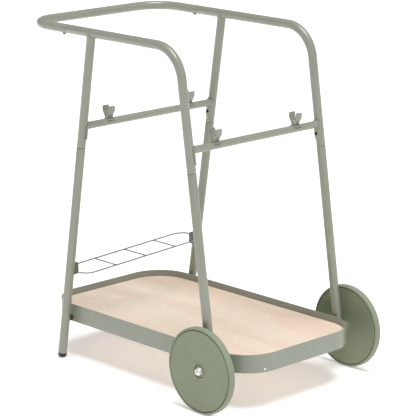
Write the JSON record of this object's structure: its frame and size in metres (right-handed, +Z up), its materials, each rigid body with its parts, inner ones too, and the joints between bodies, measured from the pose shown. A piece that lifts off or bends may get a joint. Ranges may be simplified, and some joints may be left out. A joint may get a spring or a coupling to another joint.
{
  "type": "tray trolley",
  "caption": "Two-wheeled push trolley: bent tube frame with a U-shaped handle, crossbars with spring clips, a wire rack and a rimmed wooden tray.",
  "frame": {"origin": "on the floor, under the middle of the whole object", "axes": "+X from the push handle towards the wheels, +Y to the left of someone who pushes, +Z up"},
  "size_m": [0.7618, 0.5324, 0.851],
  "materials": {
    "frame_paint": "satin sage green powder coat",
    "rim_paint": "satin sage green powder coat",
    "wire_paint": "satin sage green powder coat",
    "wheel_plastic": "matte moulded",
    "tyre": "matte, the wheel's own colour",
    "foot_plastic": "matte black",
    "dark_steel": "black oxide",
    "zinc": "bright zinc",
    "bare_steel": "bare",
    "plywood": "clear matt lacquer"
  },
  "bodies": {
    "frame": {"handle_tube": "frame_paint", "handle_sleeve_left": "bare_steel", "handle_sleeve_right": "bare_steel", "handle_screw_left": "dark_steel", "handle_screw_right": "dark_steel", "side_rail_left": "frame_paint", "side_rail_right": "frame_paint", "rear_leg_upper_left": "frame_paint", "rear_leg_upper_right": "frame_paint", "rear_leg_lower_left": "frame_paint", "rear_leg_lower_right": "frame_paint", "front_leg_lower_left": "frame_paint", "front_leg_lower_right": "frame_paint", "rear_leg_sleeve_left": "bare_steel", "rear_leg_sleeve_right": "bare_steel", "front_leg_sleeve_left": "bare_steel", "front_leg_sleeve_right": "bare_steel", "rear_crossbar": "frame_paint", "front_crossbar": "frame_paint", "crossbar_saddle_rear_left": "frame_paint", "crossbar_screw_rear_left": "dark_steel", "rear_clip_left": "frame_paint", "crossbar_saddle_rear_right": "frame_paint", "crossbar_screw_rear_right": "dark_steel", "rear_clip_right": "frame_paint", "crossbar_saddle_front_left": "frame_paint", "crossbar_screw_front_left": "dark_steel", "front_clip_left": "frame_paint", "crossbar_saddle_front_right": "frame_paint", "crossbar_screw_front_right": "dark_steel", "front_clip_right": "frame_paint", "tray_rim": "rim_paint", "tray_panel": "plywood", "panel_screw_rear_left": "zinc", "panel_screw_rear_right": "zinc", "panel_screw_side_left": "zinc", "panel_screw_side_right": "zinc", "rear_tray_spacer_left": "bare_steel", "rear_tray_spacer_right": "bare_steel", "front_tray_spacer_left": "bare_steel", "front_tray_spacer_right": "bare_steel", "tray_bolt_left": "dark_steel", "rim_rivet_left": "zinc", "tray_bolt_right": "dark_steel", "rim_rivet_right": "zinc", "rack_wire_frame": "wire_paint", "rack_bracket_left": "wire_paint", "rack_screw_left": "dark_steel", "rack_bracket_right": "wire_paint", "rack_screw_right": "dark_steel", "foot_cap_left": "foot_plastic", "foot_cap_right": "foot_plastic", "axle_bolt_left": "zinc", "axle_nut_left": "zinc", "axle_bolt_right": "zinc", "axle_nut_right": "zinc"},
    "left_wheel": {"wheel_disc_left": "wheel_plastic", "wheel_tyre_left": "tyre"},
    "right_wheel": {"wheel_disc_right": "wheel_plastic", "wheel_tyre_right": "tyre"}
  },
  "joints": [
    {"name": "left_wheel_spin", "type": "hinge", "parent": "frame", "child": "left_wheel", "pos_m": [0.2772, 0.25, 0.1037], "axis": [0, 1, 0], "continuous": true},
    {"name": "right_wheel_spin", "type": "hinge", "parent": "frame", "child": "right_wheel", "pos_m": [0.2772, -0.25, 0.1037], "axis": [0, 1, 0], "continuous": true}
  ]
}
